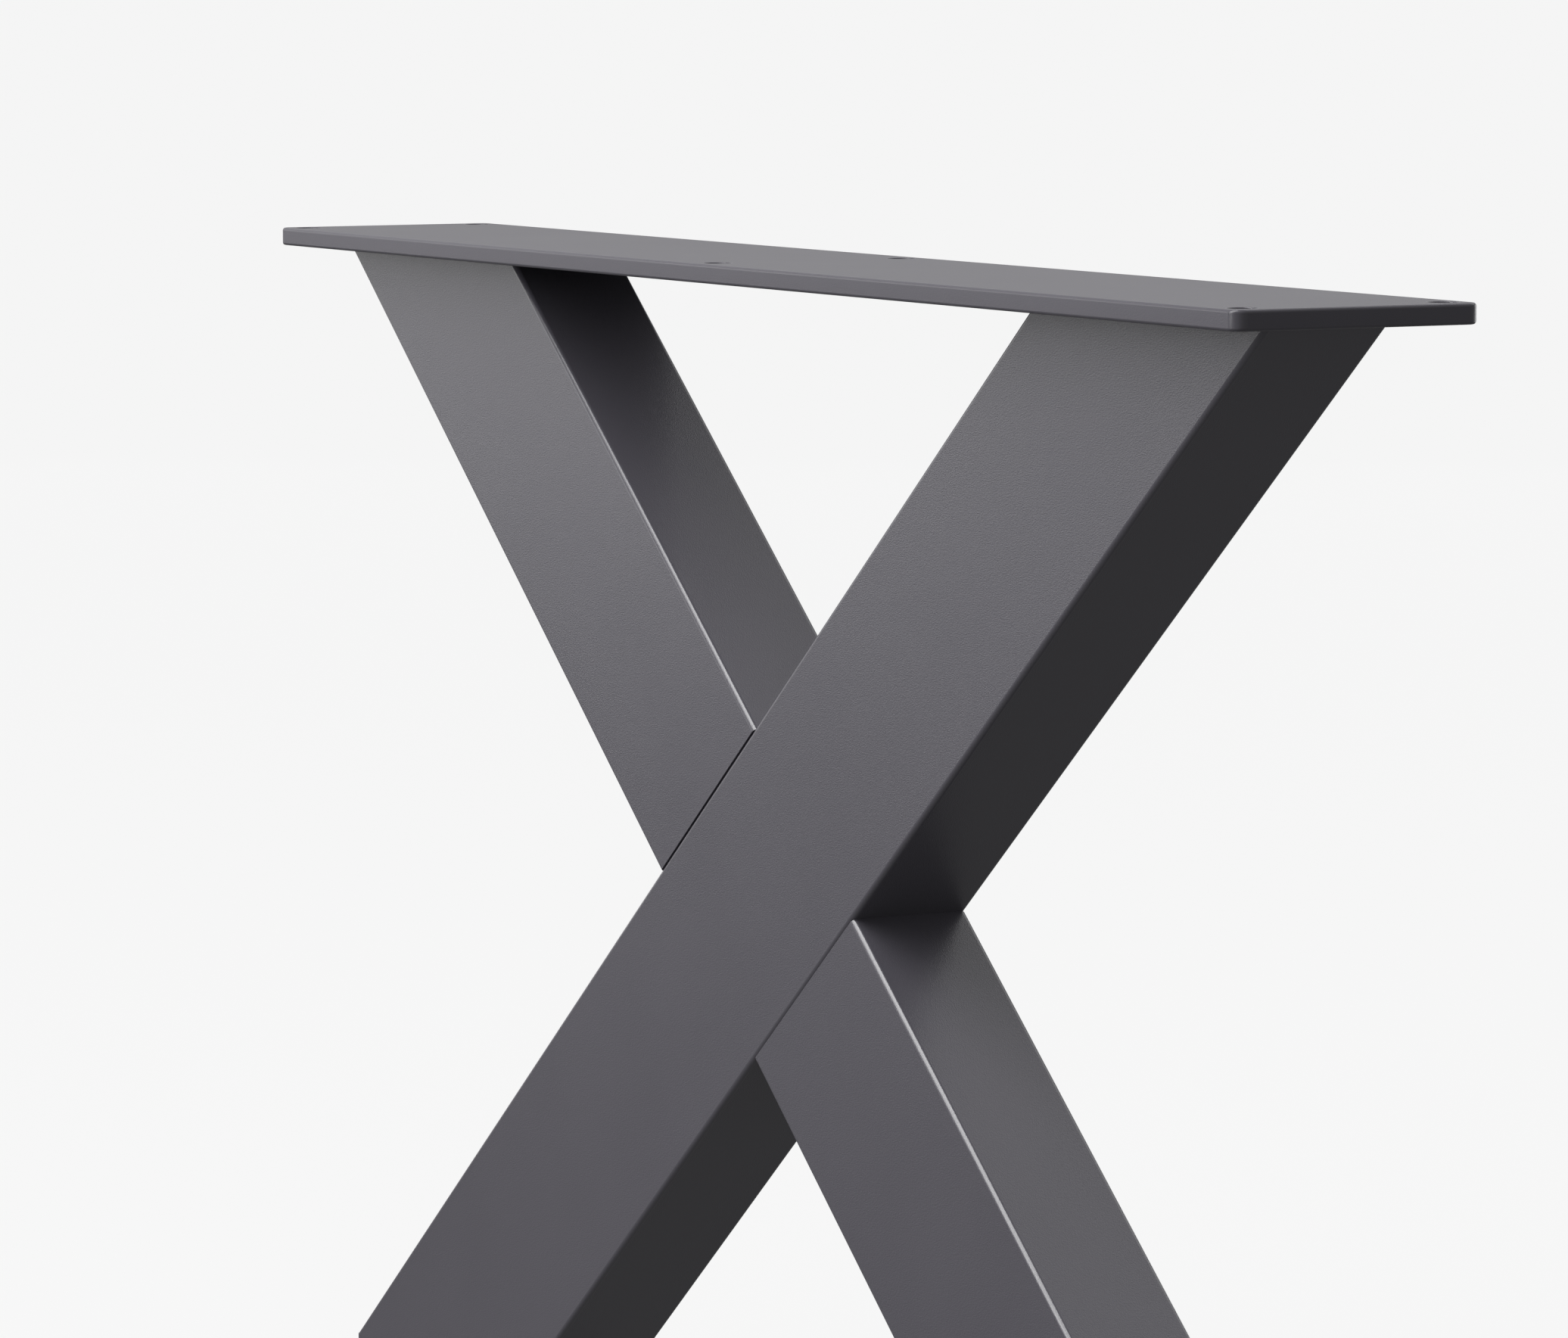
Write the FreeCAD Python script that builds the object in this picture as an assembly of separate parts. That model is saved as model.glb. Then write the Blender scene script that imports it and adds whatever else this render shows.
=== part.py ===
import FreeCAD, Part

import math
import os

# X-shaped welded steel table leg, in millimetres.
#
# One rectangular tube runs unbroken from the lower left to the upper right. A second tube of the
# same section is cut in two and butts against both sides of the first, so that the two diagonals
# share one front and one back face. A drilled plate closes the top and carries the table top. Each
# lower end is closed by a foot plate, which stands on a moulded glide.
#
# Frame: +X along the top plate, +Y from front to back, +Z up, origin on the floor in the middle.

# Driving dimensions
overall_height = 400.0
plate_length = 616.0
plate_thickness = 6.0
plate_corner_radius = 4.0
plate_edge_round = 1.0
plate_end_overhang = 15.0
plate_side_overhang = 20.0

hole_diameter = 8.5
hole_end_distance = 8.0
hole_side_distance = 7.5
hole_columns = 3

tube_width = 80.0
tube_depth = 40.0
tube_wall = 2.0
tube_corner_radius = 1.6
tube_inner_radius = 0.4

foot_plate_thickness = 6.0
foot_edge_round = 1.0

glide_thickness = 6.0
glide_inset = 1.0
glide_corner_radius = 3.0
glide_edge_round = 1.0
glide_rim_width = 7.0
glide_pocket_depth = 3.0
peg_diameter = 8.0
peg_clearance = 0.1
peg_spacing = 70.0
peg_tip_chamfer = 1.0

# Levels and widths that follow from the driving dimensions
plate_width = tube_depth + 2 * plate_side_overhang
plate_underside = overall_height - plate_thickness
foot_plate_top = glide_thickness + foot_plate_thickness
crossing_height = (plate_underside + foot_plate_top) / 2
half_rise = plate_underside - crossing_height

# The tube's outer top corner ends plate_end_overhang short of the plate's end, which sets the angle
outer_reach = plate_length / 2 - plate_end_overhang
slope_to_corner = math.atan2(half_rise, outer_reach)
corner_offset = math.asin(tube_width / 2 / math.hypot(half_rise, outer_reach))
tube_angle = slope_to_corner + corner_offset
half_spread = half_rise / math.tan(tube_angle)
footprint_length = tube_width / math.sin(tube_angle)

UP = FreeCAD.Vector(0, 0, 1)
BACK = FreeCAD.Vector(0, 1, 0)
CROSSING = FreeCAD.Vector(0, 0, crossing_height)
RISING_RIGHT = 1
RISING_LEFT = -1


def rounded_rectangle(length, width, radius):
    """A face in the XY plane, centred on the origin, with its corners rounded."""
    x, y = length / 2, width / 2
    core_x, core_y = x - radius, y - radius
    side_ends = [
        ((-core_x, -y), (core_x, -y)),
        ((x, -core_y), (x, core_y)),
        ((core_x, y), (-core_x, y)),
        ((-x, core_y), (-x, -core_y)),
    ]
    corner_centres = [(core_x, -core_y), (core_x, core_y), (-core_x, core_y), (-core_x, -core_y)]
    edges = []
    for index, (start, end) in enumerate(side_ends):
        next_start = side_ends[(index + 1) % 4][0]
        centre_x, centre_y = corner_centres[index]
        middle_angle = math.radians(-45 + 90 * index)
        middle = FreeCAD.Vector(
            centre_x + radius * math.cos(middle_angle), centre_y + radius * math.sin(middle_angle), 0
        )
        edges.append(Part.LineSegment(FreeCAD.Vector(*start, 0), FreeCAD.Vector(*end, 0)).toShape())
        edges.append(Part.Arc(FreeCAD.Vector(*end, 0), middle, FreeCAD.Vector(*next_start, 0)).toShape())
    return Part.Face(Part.Wire(edges))


def horizontal_edges(shape, height):
    """The edges that lie all along at one height."""
    return [edge for edge in shape.Edges if all(abs(v.Z - height) < 1e-6 for v in edge.Vertexes)]


def drill(x, y, diameter, bottom, depth):
    """A round cutter standing on the point (x, y, bottom)."""
    return Part.makeCylinder(diameter / 2, depth, FreeCAD.Vector(x, y, bottom), UP)


def make_top_plate():
    """Flat bar with rounded corners, eased edges and two rows of screw holes beside the tubes."""
    plate = rounded_rectangle(plate_length, plate_width, plate_corner_radius).extrude(UP * plate_thickness)
    plate = plate.makeFillet(
        plate_edge_round, horizontal_edges(plate, 0) + horizontal_edges(plate, plate_thickness)
    )
    hole_reach_x = plate_length / 2 - hole_end_distance
    hole_reach_y = plate_width / 2 - hole_side_distance
    column_pitch = 2 * hole_reach_x / (hole_columns - 1)
    for column in range(hole_columns):
        for side in (-1, 1):
            x = -hole_reach_x + column * column_pitch
            plate = plate.cut(drill(x, side * hole_reach_y, hole_diameter, 0, plate_thickness))
    plate.translate(UP * plate_underside)
    return plate


def place_on_diagonal(bar, way):
    """Lays an upright bar, centred on the origin, along one diagonal of the X."""
    bar.rotate(FreeCAD.Vector(0, 0, 0), BACK, way * (90 - math.degrees(tube_angle)))
    bar.translate(CROSSING)
    return bar


def diagonal_tube(way):
    """A full-length hollow tube along one diagonal, cut level at the plate and at the foot plate."""
    stock_length = 2 * (half_rise / math.sin(tube_angle) + footprint_length)
    outer = rounded_rectangle(tube_width, tube_depth, tube_corner_radius)
    bore = rounded_rectangle(tube_width - 2 * tube_wall, tube_depth - 2 * tube_wall, tube_inner_radius)
    tube = outer.cut(bore).extrude(UP * stock_length)
    tube.translate(UP * -stock_length / 2)
    tube = place_on_diagonal(tube, way)
    level_band = Part.makeBox(2 * plate_length, 2 * plate_width, 2 * half_rise)
    level_band.translate(FreeCAD.Vector(-plate_length, -plate_width, foot_plate_top))
    return tube.common(level_band)


def make_half_tubes():
    """The second diagonal, sawn away where the through tube passes: its upper and lower halves."""
    stock_length = 2 * plate_length
    through_width = Part.makeBox(tube_width, 2 * tube_depth, stock_length)
    through_width.translate(FreeCAD.Vector(-tube_width / 2, -tube_depth, -stock_length / 2))
    halves = diagonal_tube(RISING_LEFT).cut(place_on_diagonal(through_width, RISING_RIGHT))
    lower, upper = sorted(halves.Solids, key=lambda half: half.CenterOfMass.z)
    return upper, lower


def peg_places(centre_x):
    """Where a glide's two pegs stand, along X."""
    return [centre_x - peg_spacing / 2, centre_x + peg_spacing / 2]


def make_foot_plate(centre_x):
    """Closes the lower end of a tube, flush with it all round, with a hole for each peg."""
    plate = rounded_rectangle(footprint_length, tube_depth, tube_corner_radius)
    plate = plate.extrude(UP * foot_plate_thickness)
    plate = plate.makeFillet(foot_edge_round, horizontal_edges(plate, 0))
    plate.translate(FreeCAD.Vector(centre_x, 0, glide_thickness))
    hole = peg_diameter + 2 * peg_clearance
    for x in peg_places(centre_x):
        plate = plate.cut(drill(x, 0, hole, glide_thickness, foot_plate_thickness))
    return plate


def make_glide(centre_x):
    """Moulded pad that stands on a rim, hollow inside the rim, with two pegs for the foot plate's holes."""
    pad_length = footprint_length - 2 * glide_inset
    pad_width = tube_depth - 2 * glide_inset
    pad = rounded_rectangle(pad_length, pad_width, glide_corner_radius).extrude(UP * glide_thickness)
    pad = pad.makeFillet(glide_edge_round, horizontal_edges(pad, 0))
    pocket = rounded_rectangle(
        pad_length - 2 * glide_rim_width, pad_width - 2 * glide_rim_width, glide_corner_radius
    )
    pad = pad.cut(pocket.extrude(UP * glide_pocket_depth))
    pad.translate(FreeCAD.Vector(centre_x, 0, 0))
    for x in peg_places(centre_x):
        peg = drill(x, 0, peg_diameter, glide_thickness, foot_plate_thickness)
        peg = peg.makeChamfer(peg_tip_chamfer, horizontal_edges(peg, foot_plate_top))
        pad = pad.fuse(peg)
    return pad.removeSplitter()


def main():
    upper_tube, lower_tube = make_half_tubes()
    nodes = {
        "top_plate": make_top_plate(),
        "through_tube": diagonal_tube(RISING_RIGHT),
        "upper_half_tube": upper_tube,
        "lower_half_tube": lower_tube,
        "left_foot_plate": make_foot_plate(-half_spread),
        "right_foot_plate": make_foot_plate(half_spread),
        "left_glide": make_glide(-half_spread),
        "right_glide": make_glide(half_spread),
    }
    os.makedirs("parts", exist_ok=True)
    for name, shape in nodes.items():
        solid = shape.Solids[0]
        solid.exportStep(f"parts/{name}.step")
        print(f"{name}: {len(shape.Solids)} solid, {solid.Volume / 1000:.2f} cm3, valid {solid.isValid()}")
    print(f"tube angle {math.degrees(tube_angle):.2f} deg, feet at x = {half_spread:.2f}")


main()
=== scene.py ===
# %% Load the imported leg
import math

import bpy
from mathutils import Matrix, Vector


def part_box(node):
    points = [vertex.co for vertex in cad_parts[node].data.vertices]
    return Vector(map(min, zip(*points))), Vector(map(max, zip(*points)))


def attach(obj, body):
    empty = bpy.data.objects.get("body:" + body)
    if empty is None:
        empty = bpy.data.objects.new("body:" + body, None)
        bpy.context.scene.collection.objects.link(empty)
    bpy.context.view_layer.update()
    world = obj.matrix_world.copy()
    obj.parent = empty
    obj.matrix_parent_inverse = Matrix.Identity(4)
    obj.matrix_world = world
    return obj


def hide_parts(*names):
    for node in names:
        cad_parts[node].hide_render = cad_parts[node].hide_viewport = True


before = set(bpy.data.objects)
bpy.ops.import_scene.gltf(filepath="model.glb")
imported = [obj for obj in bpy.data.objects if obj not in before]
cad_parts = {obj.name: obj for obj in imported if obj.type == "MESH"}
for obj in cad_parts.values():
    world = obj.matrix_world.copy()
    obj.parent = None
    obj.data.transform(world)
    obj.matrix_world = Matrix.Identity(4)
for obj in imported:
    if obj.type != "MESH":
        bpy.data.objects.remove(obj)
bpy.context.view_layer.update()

print("CAD nodes:", sorted(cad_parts))

# %% [markdown]
# # An X-shaped table leg
#
# The leg is a welded steel frame. One rectangular tube runs through from corner to corner, and a
# second one is sawn in two and butts against both of its sides. A drilled plate closes the top, and
# the feet are closed by small plates that stand on plastic glides. The solids from the workshop
# drawing are already loaded. Their sizes are right, but their edges are made of coarse flats, so
# each piece is modelled again here with edges that catch the light as real ones do.
#
# First come the sizes. The boxes of the loaded solids give most of them, and the slope of the tubes
# follows from the through tube's box and the tube's width.

# %% Sizes, in metres
MM = 0.001
TUBE_WIDTH, TUBE_DEPTH, TUBE_WALL = 80 * MM, 40 * MM, 2 * MM
TUBE_EDGE, BORE_EDGE = 1.6 * MM, 0.4 * MM

plate_low, plate_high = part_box("top_plate")
through_low, through_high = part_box("through_tube")
half_rise = (through_high.z - through_low.z) / 2
crossing = Vector((0, 0, (through_high.z + through_low.z) / 2))
corner_slope = math.atan2(half_rise, through_high.x)
slope = corner_slope + math.asin(TUBE_WIDTH / 2 / math.hypot(half_rise, through_high.x))
print(f"tube slope {math.degrees(slope):.2f} degrees, crossing at {crossing.z / MM:.0f} mm")

# %% [markdown]
# ## Working by hand, in code
#
# Every piece starts as a plain block. As at the screen, some of its edges are picked and then
# bevelled, which is how a rounded edge is made: the bevel replaces the edge by a row of narrow
# faces. Here the picking is done by a test on the edge's two end points.

# %% A block, picked edges and rounded edges
TINY = 1e-6  # lengths that differ by less than this are the same


def add_block(name, low, high):
    """A box between two corners, with its place and size in its mesh."""
    bpy.ops.object.select_all(action="DESELECT")
    bpy.ops.mesh.primitive_cube_add(size=1, location=(Vector(low) + Vector(high)) / 2)
    block = bpy.context.object
    block.name = block.data.name = name
    block.scale = Vector(high) - Vector(low)
    bpy.ops.object.transform_apply(location=True, rotation=True, scale=True)
    return block


def edit(piece, faces=False):
    """Opens one piece alone in edit mode, ready to work on picked edges or faces."""
    bpy.ops.object.select_all(action="DESELECT")
    piece.select_set(True)
    bpy.context.view_layer.objects.active = piece
    bpy.context.tool_settings.mesh_select_mode = (False, not faces, faces)
    bpy.ops.object.mode_set(mode="EDIT")


def pick_nothing(mesh):
    """Clears what earlier steps left selected."""
    for part in (mesh.polygons, mesh.edges, mesh.vertices):
        part.foreach_set("select", [False] * len(part))


def pick_edges(piece, test):
    """Selects the edges whose end points pass the test, and leaves the piece open in edit mode."""
    mesh = piece.data
    pick_nothing(mesh)
    for edge in mesh.edges:
        start, end = (mesh.vertices[i].co for i in edge.vertices)
        edge.select = test(start, end)
    edit(piece)


def round_edges(piece, radius, test, segments):
    """Bevels the edges that pass the test."""
    pick_edges(piece, test)
    bpy.ops.mesh.bevel(offset=radius, segments=segments, affect="EDGES")
    bpy.ops.object.mode_set(mode="OBJECT")


def upright(start, end):
    """Is this edge parallel to Z?"""
    return abs(start.z - end.z) > TINY and (start - end).xy.length < TINY


def level_at(height):
    """A test for edges that lie at one height."""
    return lambda start, end: max(abs(start.z - height), abs(end.z - height)) < TINY


# %% [markdown]
# ## Holes and clean shading
#
# A Boolean modifier drills a hole: a cutter stands where the drill would go, and its shape is taken
# away from the piece. After the last cut, the piece is shaded smooth except at sharp edges, and a
# Weighted Normal modifier keeps the big flats flat, so that only the narrow rounded rows bend light.

# %% Cutters, pegs and the finishing touch
SHARP_FROM = math.radians(32)  # edges that turn by more than this stay sharp


def add_rod(x, y, low, high, radius):
    """An upright round rod, used as a drill or a peg."""
    bpy.ops.object.select_all(action="DESELECT")
    bpy.ops.mesh.primitive_cylinder_add(
        vertices=64, radius=radius, depth=high - low, location=(x, y, (low + high) / 2)
    )
    bpy.ops.object.transform_apply(location=True)
    return bpy.context.object


def apply_modifier(piece, kind, **settings):
    """Adds a modifier and applies it at once."""
    bpy.context.view_layer.objects.active = piece
    modifier = piece.modifiers.new(kind, kind)
    for key, value in settings.items():
        setattr(modifier, key, value)
    bpy.ops.object.modifier_apply(modifier=modifier.name)


def combine(piece, tools, operation):
    """Cuts the tools out of the piece, or melts them into it, and throws the tools away."""
    for tool in tools:
        apply_modifier(piece, "BOOLEAN", operation=operation, object=tool, solver="EXACT")
        bpy.data.objects.remove(tool)


def finish_piece(piece, node):
    """Cleans and shades a piece, and lets it stand for its CAD node."""
    edit(piece)
    bpy.ops.mesh.select_all(action="SELECT")
    bpy.ops.mesh.remove_doubles(threshold=TINY)
    bpy.ops.mesh.normals_make_consistent(inside=False)
    bpy.ops.object.mode_set(mode="OBJECT")
    bpy.ops.object.shade_smooth_by_angle(angle=SHARP_FROM)
    apply_modifier(piece, "WEIGHTED_NORMAL", keep_sharp=True, weight=100)
    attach(piece, "root")
    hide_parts(node)
    low, high = (Vector(corner) for corner in (piece.bound_box[0], piece.bound_box[6]))
    size = " x ".join(f"{side / MM:.1f}" for side in high - low)
    print(f"{piece.name}: {size} mm, {len(piece.data.polygons)} faces")


# %% [markdown]
# ## The tubes
#
# A tube is drawn steel with small rounded edges and an empty bore. It could be a curve with a bevel
# profile, but two nested blocks are easier to cut cleanly: the outer one is rounded, the inner one
# is turned inside out, and both are open at the ends. The pair is tilted onto its diagonal, and
# Bisect then saws it like a mitre saw and fills the cut, which leaves the ring of the wall.

# %% Tube stock on a diagonal
STOCK = 1.0  # longer than any tube
RISING_RIGHT, RISING_LEFT = 1, -1


def add_shell(name, width, depth, edge, segments):
    """An upright open box with rounded long edges."""
    corner = Vector((width / 2, depth / 2, STOCK / 2))
    shell = add_block(name, -corner, corner)
    round_edges(shell, edge, upright, segments)
    pick_nothing(shell.data)
    for face in shell.data.polygons:
        face.select = abs(face.normal.z) > 0.9
    edit(shell, faces=True)
    bpy.ops.mesh.delete(type="FACE")
    bpy.ops.object.mode_set(mode="OBJECT")
    return shell


def saw(piece, point, away):
    """Cuts the piece along a plane, drops the side that away points to, and fills the cut."""
    edit(piece)
    bpy.ops.mesh.select_all(action="SELECT")
    bpy.ops.mesh.bisect(plane_co=point, plane_no=away, use_fill=True, clear_outer=True)
    bpy.ops.object.mode_set(mode="OBJECT")


def add_tube(name, way):
    """Tube stock along one diagonal, sawn level under the top plate and over the foot plate."""
    tube = add_shell(name, TUBE_WIDTH, TUBE_DEPTH, TUBE_EDGE, segments=8)
    bore_width, bore_depth = TUBE_WIDTH - 2 * TUBE_WALL, TUBE_DEPTH - 2 * TUBE_WALL
    bore = add_shell("bore", bore_width, bore_depth, BORE_EDGE, segments=2)
    edit(bore)
    bpy.ops.mesh.select_all(action="SELECT")
    bpy.ops.mesh.flip_normals()
    bpy.ops.object.mode_set(mode="OBJECT")
    tube.select_set(True)
    bpy.context.view_layer.objects.active = tube
    bpy.ops.object.join()
    tube.rotation_euler.y = way * (math.pi / 2 - slope)
    tube.location = crossing
    bpy.ops.object.transform_apply(location=True, rotation=True)
    saw(tube, (0, 0, through_high.z), (0, 0, 1))
    saw(tube, (0, 0, through_low.z), (0, 0, -1))
    return tube


through_tube = add_tube("leg_through_tube", RISING_RIGHT)
finish_piece(through_tube, "through_tube")

# %% [markdown]
# ## The sawn tube
#
# The second diagonal is the same stock, sawn along the through tube's side faces. Its sharp sawn
# edge against the through tube's rounded edge leaves the fine dark groove that shows at the
# crossing, so no groove has to be modelled.

# %% Upper and lower half of the second diagonal
below_through = Vector((math.sin(slope), 0, -math.cos(slope)))  # square to the through tube's lower side

upper_half = add_tube("leg_upper_half_tube", RISING_LEFT)
saw(upper_half, crossing - below_through * TUBE_WIDTH / 2, below_through)
finish_piece(upper_half, "upper_half_tube")

lower_half = add_tube("leg_lower_half_tube", RISING_LEFT)
saw(lower_half, crossing + below_through * TUBE_WIDTH / 2, -below_through)
finish_piece(lower_half, "lower_half_tube")

# %% [markdown]
# ## The top plate
#
# The plate is flat bar with rounded corners and eased edges, and six plain screw holes beside the
# tubes. The corners are bevelled first and the rim after them, so that the rim's rounding runs
# round each corner in one sweep. The holes' rims are eased a little, as a coat of powder does.

# %% Plate, holes and hole rims
PLATE_CORNER, PLATE_EDGE = 4 * MM, 1 * MM
HOLE_RADIUS, HOLE_RIM = 4.25 * MM, 0.35 * MM
HOLE_FROM_END, HOLE_FROM_SIDE = 8 * MM, 7.5 * MM
DRILL_OVERSHOOT = 5 * MM  # how far a drill stands out of the plate, above and below
hole_x, hole_y = plate_high.x - HOLE_FROM_END, plate_high.y - HOLE_FROM_SIDE
hole_places = [(column * hole_x, side * hole_y) for column in (-1, 0, 1) for side in (-1, 1)]


def on_hole_rim(start, end):
    """Is this edge part of a hole's rim?"""
    if abs(start.z - end.z) > TINY:
        return False
    for x, y in hole_places:
        reach = [(point.xy - Vector((x, y))).length for point in (start, end)]
        if max(abs(r - HOLE_RADIUS) for r in reach) < 10 * TINY:
            return True
    return False


plate = add_block("leg_top_plate", plate_low, plate_high)
round_edges(plate, PLATE_CORNER, upright, segments=12)
round_edges(plate, PLATE_EDGE, level_at(plate_high.z), segments=5)
round_edges(plate, PLATE_EDGE, level_at(plate_low.z), segments=5)
drill_low, drill_high = plate_low.z - DRILL_OVERSHOOT, plate_high.z + DRILL_OVERSHOOT
combine(plate, [add_rod(x, y, drill_low, drill_high, HOLE_RADIUS) for x, y in hole_places], "DIFFERENCE")
round_edges(plate, HOLE_RIM, on_hole_rim, segments=3)
finish_piece(plate, "top_plate")

# %% [markdown]
# ## Foot plates
#
# A foot plate closes each tube, flush with it all round, and has two holes for the pegs of the glide
# below it. It is modelled once at the left foot. A mirror would turn the mesh inside out, and the
# plate is the same both ways round, so the right one is a plain copy with a mesh of its own.

# %% Foot plates
FOOT_EDGE = 1 * MM
PEG_HOLE_RADIUS = 4.1 * MM
PEG_REACH = 35 * MM  # from the foot's middle to each peg
FOOT_OVERSHOOT = 1 * MM  # how far a cutter stands out of a foot plate or a glide
foot_low, foot_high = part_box("left_foot_plate")
foot_x = (foot_low.x + foot_high.x) / 2
peg_places = [foot_x - PEG_REACH, foot_x + PEG_REACH]


def copy_to_right(piece, name):
    """A copy with its own mesh, on the other foot."""
    twin = piece.copy()
    twin.data = piece.data.copy()
    twin.name = twin.data.name = name
    bpy.context.scene.collection.objects.link(twin)
    bpy.ops.object.select_all(action="DESELECT")
    twin.select_set(True)
    bpy.context.view_layer.objects.active = twin
    twin.location.x = -2 * foot_x
    bpy.ops.object.transform_apply(location=True)
    return twin


foot = add_block("leg_left_foot_plate", foot_low, foot_high)
round_edges(foot, TUBE_EDGE, upright, segments=8)
round_edges(foot, FOOT_EDGE, level_at(foot_low.z), segments=4)
drill_low, drill_high = foot_low.z - FOOT_OVERSHOOT, foot_high.z + FOOT_OVERSHOOT
combine(foot, [add_rod(x, 0, drill_low, drill_high, PEG_HOLE_RADIUS) for x in peg_places], "DIFFERENCE")
right_foot = copy_to_right(foot, "leg_right_foot_plate")
finish_piece(foot, "left_foot_plate")
finish_piece(right_foot, "right_foot_plate")

# %% [markdown]
# ## Glides
#
# A glide is one plastic moulding: a pad that is hollow inside its rim, so that it stands on the rim,
# with two pegs that push up into the foot plate. The pad is a block with rounded edges. One Boolean
# takes the pocket out from below, and another melts in the pegs, which start a little inside the pad
# so that the two shapes really meet.

# %% Glides
GLIDE_CORNER, GLIDE_EDGE = 3 * MM, 1 * MM
RIM_WIDTH, POCKET_DEPTH = 7 * MM, 3 * MM
PEG_RADIUS, PEG_TIP, PEG_ROOT = 4 * MM, 1 * MM, 1 * MM
glide_low, glide_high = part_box("left_glide")

glide = add_block("leg_left_glide", glide_low, (glide_high.x, glide_high.y, foot_low.z))
round_edges(glide, GLIDE_CORNER, upright, segments=8)
round_edges(glide, GLIDE_EDGE, level_at(glide_low.z), segments=4)
pocket_low = (glide_low.x + RIM_WIDTH, glide_low.y + RIM_WIDTH, glide_low.z - FOOT_OVERSHOOT)
pocket_high = (glide_high.x - RIM_WIDTH, glide_high.y - RIM_WIDTH, glide_low.z + POCKET_DEPTH)
pocket = add_block("pocket", pocket_low, pocket_high)
round_edges(pocket, GLIDE_CORNER, upright, segments=8)
combine(glide, [pocket], "DIFFERENCE")
pegs = [add_rod(x, 0, foot_low.z - PEG_ROOT, glide_high.z, PEG_RADIUS) for x in peg_places]
for peg in pegs:
    round_edges(peg, PEG_TIP, level_at(glide_high.z), segments=1)
combine(glide, pegs, "UNION")
right_glide = copy_to_right(glide, "leg_right_glide")
finish_piece(glide, "left_glide")
finish_piece(right_glide, "right_glide")

# %% [markdown]
# ## Materials in code
#
# A material is a small graph of nodes. At the screen they are dragged in and wired up. Here one
# function adds a node, sets its options, and sets or links its inputs. Colours are written as they
# look on a screen, and Blender reckons in linear light, so another function converts them.

# %% Colours and one function that adds a node
def colour(code):
    """An sRGB hex colour as linear RGBA."""
    parts = [int(code[i : i + 2], 16) / 255 for i in (1, 3, 5)]
    linear = [c / 12.92 if c <= 0.04045 else ((c + 0.055) / 1.055) ** 2.4 for c in parts]
    return (*linear, 1.0)


def add_node(owner, kind, inputs=None, **settings):
    """Adds a node, sets its options, and sets or links its inputs."""
    node = owner.node_tree.nodes.new(kind)
    for key, value in settings.items():
        setattr(node, key, value)
    for key, value in (inputs or {}).items():
        if isinstance(value, bpy.types.NodeSocket):
            owner.node_tree.links.new(value, node.inputs[key])
        else:
            node.inputs[key].default_value = value
    return node


def new_material(name):
    """A node material with nothing in it yet."""
    material = bpy.data.materials.new(name)
    material.use_nodes = True
    material.node_tree.nodes.clear()
    return material


def dress(piece, material, edge_material=None, is_rounding=None):
    """Gives a piece its material, and its rounded edges another one."""
    piece.data.materials.clear()
    piece.data.materials.append(material)
    if edge_material:
        piece.data.materials.append(edge_material)
        for face in piece.data.polygons:
            face.material_index = int(is_rounding(face.normal))


# %% [markdown]
# ## Powder coat
#
# The steel is powder coated: dry paint dust that is baked until it flows. It gives a satin, slightly
# cool graphite grey with a fine leathery grain, lumps of a third of a millimetre that show best where
# light falls along the surface. Two noise patterns make the grain's height: the lumps, and a slow
# waviness under them. A third shifts the colour and the gloss a little from place to place. All of
# them read Object coordinates, so that the grain has one size on every piece.
#
# The grain isn't the same everywhere. Flat bar takes a smoother, duller coat than the tubes, and
# where the powder melts over a rounded edge it pulls thin and flows out glossy, which is why a bright
# line runs along the edges. So one function makes the coat, and it is called once for each of these.

# %% The powder coat
GRAIN = 0.35 * MM  # one lump of the leathery grain
GRAIN_STRETCH = 2.4  # lumps are longer along the leg, the way the spray gun passed
WAVE, WAVE_HEIGHT = 9 * MM, 0.03 * MM  # slow waviness under the grain
CLOUD = 60 * MM  # patches of slightly different shade


def powder_coat(name, lump_height, smoothest, roughest, ior):
    """Baked graphite powder over steel, with grain of a given height and gloss."""
    coat = new_material(name)
    place = add_node(coat, "ShaderNodeTexCoord").outputs["Object"]
    drawn_out = add_node(coat, "ShaderNodeMapping", {"Vector": place, "Scale": (1 / GRAIN_STRETCH, 1, 1)})
    grain = add_node(
        coat, "ShaderNodeTexNoise", {"Vector": drawn_out.outputs["Vector"], "Scale": 1 / GRAIN, "Detail": 1.0}
    )
    wave = add_node(coat, "ShaderNodeTexNoise", {"Vector": place, "Scale": 1 / WAVE, "Detail": 1.0})
    cloud = add_node(coat, "ShaderNodeTexNoise", {"Vector": place, "Scale": 1 / CLOUD, "Detail": 3.0})
    wavy = add_node(
        coat, "ShaderNodeBump", {"Height": wave.outputs["Fac"], "Distance": WAVE_HEIGHT, "Strength": 0.6}
    )
    lumps = {"Height": grain.outputs["Fac"], "Distance": lump_height, "Strength": 0.8}
    bumpy = add_node(coat, "ShaderNodeBump", {"Normal": wavy.outputs["Normal"], **lumps})
    shade = add_node(
        coat,
        "ShaderNodeMix",
        {"Factor": cloud.outputs["Fac"], "A": colour("#4E4C53"), "B": colour("#545259")},
        data_type="RGBA",
    )
    gloss = add_node(
        coat, "ShaderNodeMapRange", {"Value": cloud.outputs["Fac"], "To Min": smoothest, "To Max": roughest}
    )
    paint = add_node(
        coat,
        "ShaderNodeBsdfPrincipled",
        {
            "Base Color": shade.outputs["Result"],
            "Roughness": gloss.outputs["Result"],
            "IOR": ior,
            "Normal": bumpy.outputs["Normal"],
        },
    )
    add_node(coat, "ShaderNodeOutputMaterial", {"Surface": paint.outputs["BSDF"]})
    return coat


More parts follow.
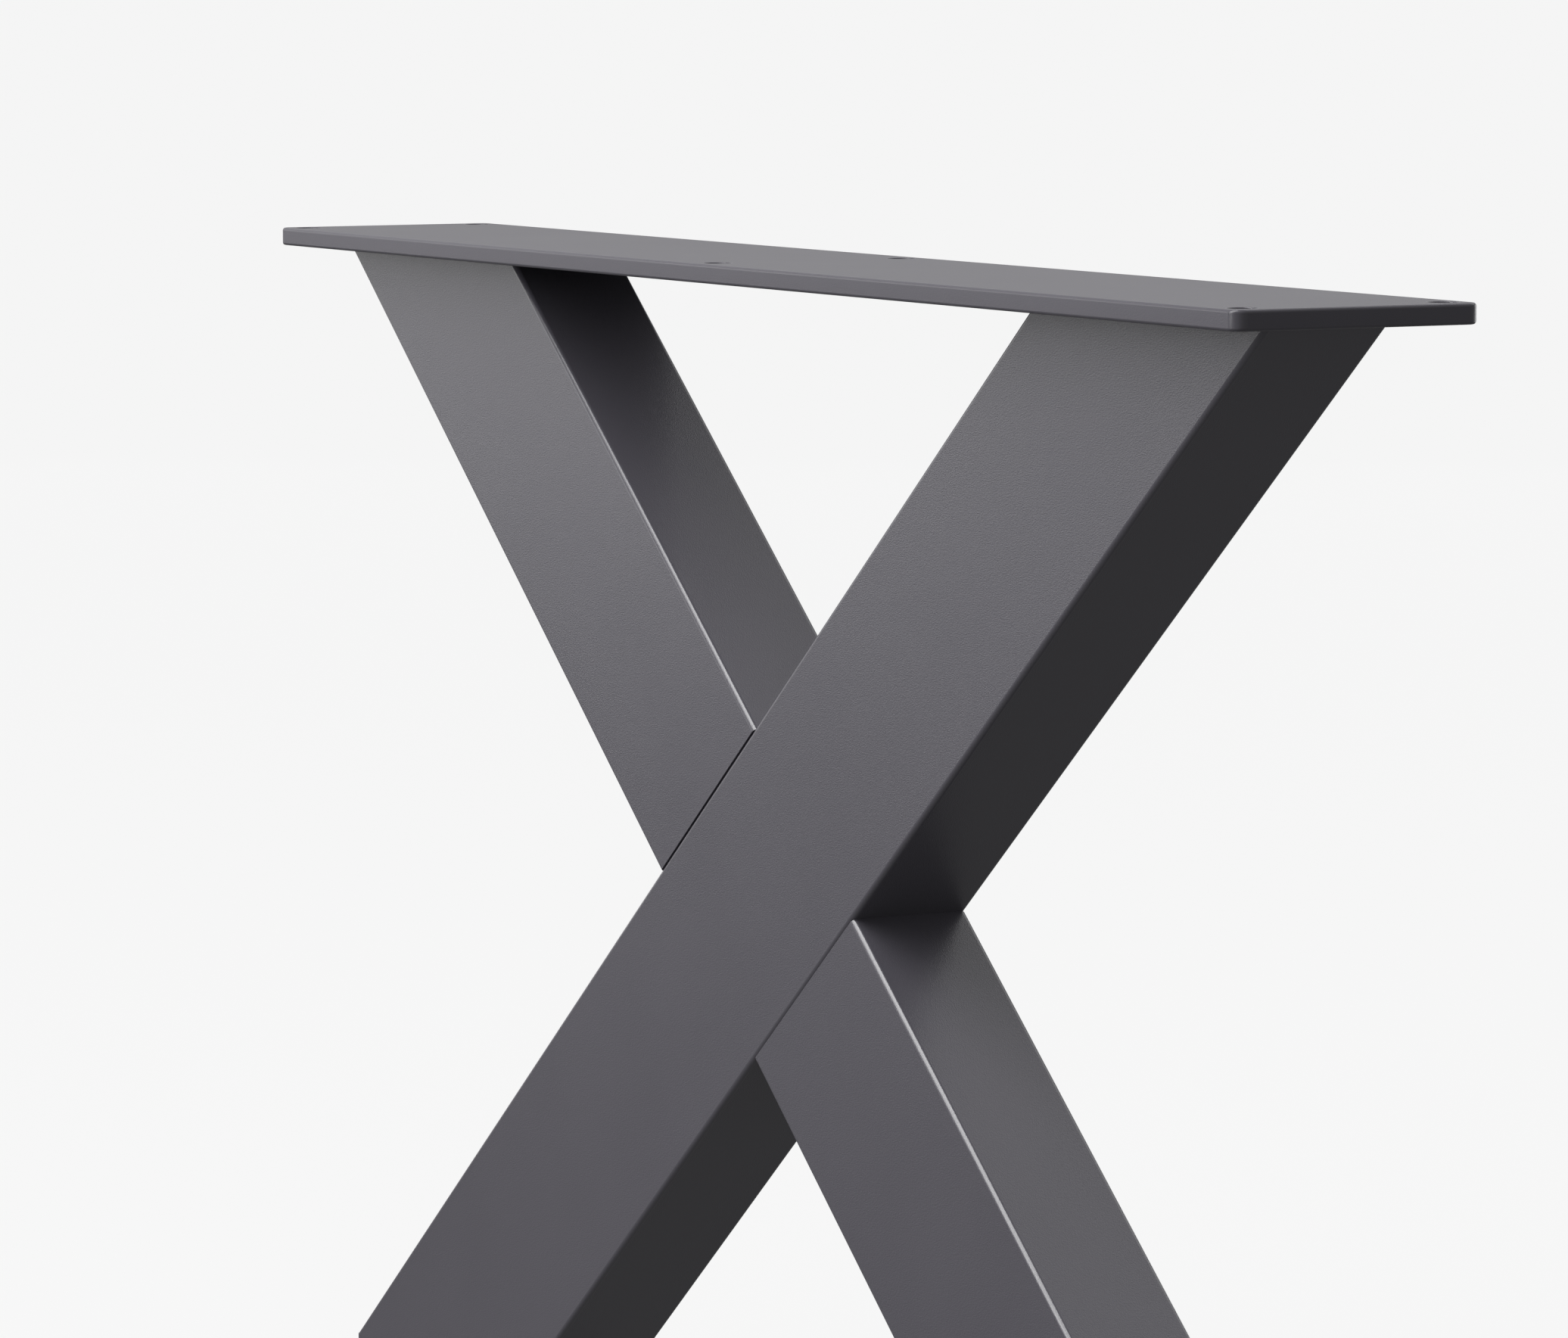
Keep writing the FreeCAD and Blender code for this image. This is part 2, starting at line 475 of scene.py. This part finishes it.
# Satin with the most grain on the tubes, duller on flat bar, thin and glossy over the edges
tube_coat = powder_coat("graphite powder coat", 0.07 * MM, 0.32, 0.36, 1.6)
bar_coat = powder_coat("graphite powder coat on flat bar", 0.03 * MM, 0.4, 0.44, 1.4)
edge_coat = powder_coat("graphite powder coat over edges", 0.01 * MM, 0.26, 0.3, 1.7)
bar_edge_coat = powder_coat("graphite powder coat over bar edges", 0.01 * MM, 0.32, 0.36, 1.5)
print("powder coat: grain", GRAIN / MM, "mm, drawn out", GRAIN_STRETCH, "times")

# %% [markdown]
# ## Flats and edges
#
# By hand, the rounded rows of faces would be selected and given the edge's material slot. Here a
# face's normal tells whether it belongs to a flat or to the rounding between two flats.

# %% Dressing the steel
ALONG_AXIS = 0.9998  # a normal along an axis has at least this much of it
ACROSS_AXIS = 0.02  # a normal square to an axis has at most this much of it


def round_on_tube(normal):
    """Is this face part of a tube's rounding? Its flats face front or back, or square to that."""
    return ACROSS_AXIS < abs(normal.y) < ALONG_AXIS


def round_on_bar(normal):
    """Is this face part of a flat bar's rounding? Its flats all face along an axis."""
    return max(abs(part) for part in normal) < ALONG_AXIS


for piece in (through_tube, upper_half, lower_half):
    dress(piece, tube_coat, edge_coat, round_on_tube)
for piece in (foot, right_foot):
    dress(piece, tube_coat, edge_coat, round_on_bar)
dress(plate, bar_coat, bar_edge_coat, round_on_bar)
for piece in (through_tube, plate):
    rounded = sum(face.material_index for face in piece.data.polygons)
    print(f"{piece.name}: {rounded} of {len(piece.data.polygons)} faces have the edges' coat")

# %% [markdown]
# ## Moulded plastic
#
# The glides are black polyethylene, moulded in a spark-eroded tool. That leaves a very fine matt
# texture, about a third of a millimetre, and a slightly waxy, broad gloss.

# %% The glides' plastic
EROSION, PIT_DEPTH = 0.35 * MM, 0.03 * MM

plastic = new_material("black moulded polyethylene")
place = add_node(plastic, "ShaderNodeTexCoord").outputs["Object"]
pits = add_node(plastic, "ShaderNodeTexNoise", {"Vector": place, "Scale": 1 / EROSION, "Detail": 2.0})
rough = add_node(
    plastic, "ShaderNodeBump", {"Height": pits.outputs["Fac"], "Distance": PIT_DEPTH, "Strength": 0.5}
)
worn = add_node(plastic, "ShaderNodeMapRange", {"Value": pits.outputs["Fac"], "To Min": 0.5, "To Max": 0.62})
body = add_node(
    plastic,
    "ShaderNodeBsdfPrincipled",
    {
        "Base Color": colour("#1B1B1C"),
        "Roughness": worn.outputs["Result"],
        "IOR": 1.51,
        "Normal": rough.outputs["Normal"],
    },
)
add_node(plastic, "ShaderNodeOutputMaterial", {"Surface": body.outputs["BSDF"]})
for piece in (glide, right_glide):
    dress(piece, plastic)
print("glide plastic: pits", EROSION / MM, "mm")

# %% [markdown]
# ## Studio
#
# The leg stands on a plain pale floor that runs into a pale backdrop. Both glow a little, as paper
# lit from behind does, so that the ground is even to the edges of the picture, and the floor still
# takes a soft shadow. They are left out of the leg's own light, which then comes only from the
# softboxes and the pale room.

# %% Floor and backdrop
FLOOR_SIZE, BACKDROP_RADIUS = 400, 190

paper = new_material("pale seamless paper")
sheet = add_node(
    paper,
    "ShaderNodeBsdfPrincipled",
    {
        "Base Color": colour("#2A2A2A"),
        "Roughness": 1.0,
        "Specular IOR Level": 0.0,
        "Emission Color": colour("#F4F4F4"),
        "Emission Strength": 1.0,
    },
)
add_node(paper, "ShaderNodeOutputMaterial", {"Surface": sheet.outputs["BSDF"]})

bpy.ops.object.select_all(action="DESELECT")
bpy.ops.mesh.primitive_plane_add(size=FLOOR_SIZE)
floor = bpy.context.object
floor.name = "floor"
bpy.ops.mesh.primitive_uv_sphere_add(segments=64, ring_count=32, radius=BACKDROP_RADIUS)
backdrop = bpy.context.object
backdrop.name = "backdrop"
for ground in (floor, backdrop):
    dress(ground, paper)
    ground.visible_diffuse = False
    ground.visible_glossy = False
backdrop.visible_shadow = False
print("stage:", floor.name, "and", backdrop.name)

# %% [markdown]
# ## Light
#
# Satin paint shows its lights, so each softbox has a face or an edge to serve. A tall one in front
# lights the front faces, and as it reaches high up, the plate's overhang shades them softly below it.
# One to the left is mirrored softly in their upper parts. A wall of light on the left draws the
# rim of the left edges. One high at the back lights the slanted faces and leaves the shade under the
# plate and the crossing. A far one is mirrored in the plate's top, which makes it the lightest face.
# A slanted strip overhead runs along the sawn tube and draws the bright line on its edge. One behind
# the leg makes the back faces readable.

# %% Softboxes
def add_softbox(name, place, target, width, height, power):
    """A rectangular area light that faces the target."""
    bpy.ops.object.light_add(type="AREA", location=place)
    lamp = bpy.context.object
    lamp.name = name
    lamp.data.shape = "RECTANGLE"
    lamp.data.size, lamp.data.size_y = width, height
    lamp.data.energy = power
    lamp.rotation_euler = (Vector(target) - Vector(place)).to_track_quat("-Z", "Y").to_euler()
    print(f"{name}: {width} x {height} m, {power} W")
    return lamp


STRIP_TURN = math.radians(-17)  # tried until the bright line ran along the sawn tube's edge
middle = (0, 0, 0.25)
add_softbox("left softbox", (-1.9, -1.1, 0.62), middle, 1.0, 1.0, 4.8)
add_softbox("front softbox", (-0.25, -1.95, 1.15), middle, 0.9, 1.6, 29)
add_softbox("left wall", (-2.4, 0, 0.9), (0, 0, 0.9), 0.8, 1.8, 3.2)
add_softbox("high back softbox", (-0.1, 1.15, 1.4), middle, 0.9, 0.9, 2.8)
add_softbox("far softbox", (-3.6, 2.2, 1.3), middle, 2.4, 2.4, 8.5)
add_softbox("back softbox", (-0.4, 2.2, 0.3), middle, 1.2, 1.2, 10)
strip = add_softbox("overhead strip", (0.02, -0.8, 1.65), middle, 0.6, 1.2, 19)
strip.rotation_euler = (0, 0, STRIP_TURN)

# %% [markdown]
# ## Room
#
# Between the softboxes the paint mirrors the room. It is paler above than below, with a soft change
# at the horizon, so the right-hand side of the through tube, which looks down, stays dark.

# %% Room
ROOM_BELOW, ROOM_ABOVE = 0.155, 0.34
HORIZON = 0.25  # half the height of the soft change, as the sine of its angle

room = bpy.data.worlds.new("pale room")
bpy.context.scene.world = room
room.use_nodes = True
sky = room.node_tree.nodes["Background"]
sky.inputs["Color"].default_value = colour("#FFFFFF")
heading = add_node(room, "ShaderNodeTexCoord").outputs["Generated"]
upward = add_node(room, "ShaderNodeSeparateXYZ", {"Vector": heading}).outputs["Z"]
change = {"From Min": -HORIZON, "From Max": HORIZON, "To Min": ROOM_BELOW, "To Max": ROOM_ABOVE}
glow = add_node(room, "ShaderNodeMapRange", {"Value": upward, **change})
room.node_tree.links.new(glow.outputs["Result"], sky.inputs["Strength"])
bpy.context.scene.view_settings.view_transform = "Standard"
print("room:", ROOM_BELOW, "below,", ROOM_ABOVE, "above")

# %% [markdown]
# ## Camera
#
# The photograph was taken with a long lens from the right, a little above the plate. The place, the
# angles and the focal length were worked out from the leg's straight edges.

# %% Camera
CAMERA_PLACE = (1.8675, -1.0315, 0.4977)
TILTED_DOWN, TURNED_LEFT = math.radians(6.02), math.radians(61.304)

bpy.ops.object.camera_add(location=CAMERA_PLACE)
camera = bpy.context.object
camera.rotation_euler = (math.pi / 2 - TILTED_DOWN, 0, TURNED_LEFT)
camera.data.sensor_fit = "HORIZONTAL"
camera.data.sensor_width = 36
camera.data.lens = 157.92
camera.data.clip_end = 1000
bpy.context.scene.camera = camera
print(f"camera: {camera.data.lens:.0f} mm lens, {Vector(CAMERA_PLACE).length:.2f} m from the origin")
